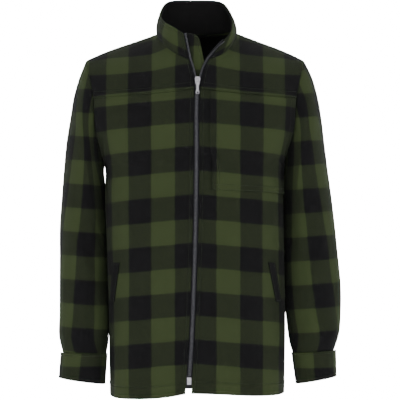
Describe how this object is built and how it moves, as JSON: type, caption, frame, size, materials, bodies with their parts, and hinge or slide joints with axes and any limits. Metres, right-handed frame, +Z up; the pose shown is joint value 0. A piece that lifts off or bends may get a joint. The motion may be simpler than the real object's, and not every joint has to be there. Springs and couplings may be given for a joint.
{
  "type": "zip-front wool jacket",
  "caption": "Hip-length zip-front jacket in checked wool with a stand collar, shoulder yoke, chest pocket, slanted hand pockets and cuffed sleeves, filled out.",
  "frame": {"origin": "middle of the neck at the height of the shoulder and neck corner, where the wearer's neck and shoulders hold the jacket", "axes": "+Z up along the body, -Y towards the front, +X towards the wearer's left"},
  "size_m": [0.5856, 0.2708, 0.8268],
  "materials": {
    "wool": "brushed wool twill in a green and black check",
    "lining": "plain black lining",
    "tape": "woven zip tape",
    "teeth": "dark coated metal",
    "metal": "satin nickel"
  },
  "bodies": {
    "jacket": {"front_right": "wool", "front_left": "wool", "yoke_right": "wool", "yoke_left": "wool", "back": "wool", "yoke_back": "wool", "sleeve_right": "wool", "sleeve_left": "wool", "cuff_right": "wool", "cuff_left": "wool", "collar": "wool", "collar_lining": "lining", "back_lining": "lining", "zip_guard": "wool", "chest_pocket": "wool", "welt_right": "wool", "welt_left": "wool", "zip_tape_right": "tape", "zip_tape_left": "tape", "zip_teeth_right": "teeth", "zip_teeth_left": "teeth", "zip_slider": "metal", "zip_box": "metal"},
    "pull_tab": {"pull_tab": "metal"}
  },
  "joints": [
    {"name": "pull_tab_hinge", "type": "hinge", "parent": "jacket", "child": "pull_tab", "pos_m": [0.00444, -0.11727, -0.101], "axis": [-1, 0, 0], "range_deg": [0, 150]}
  ]
}
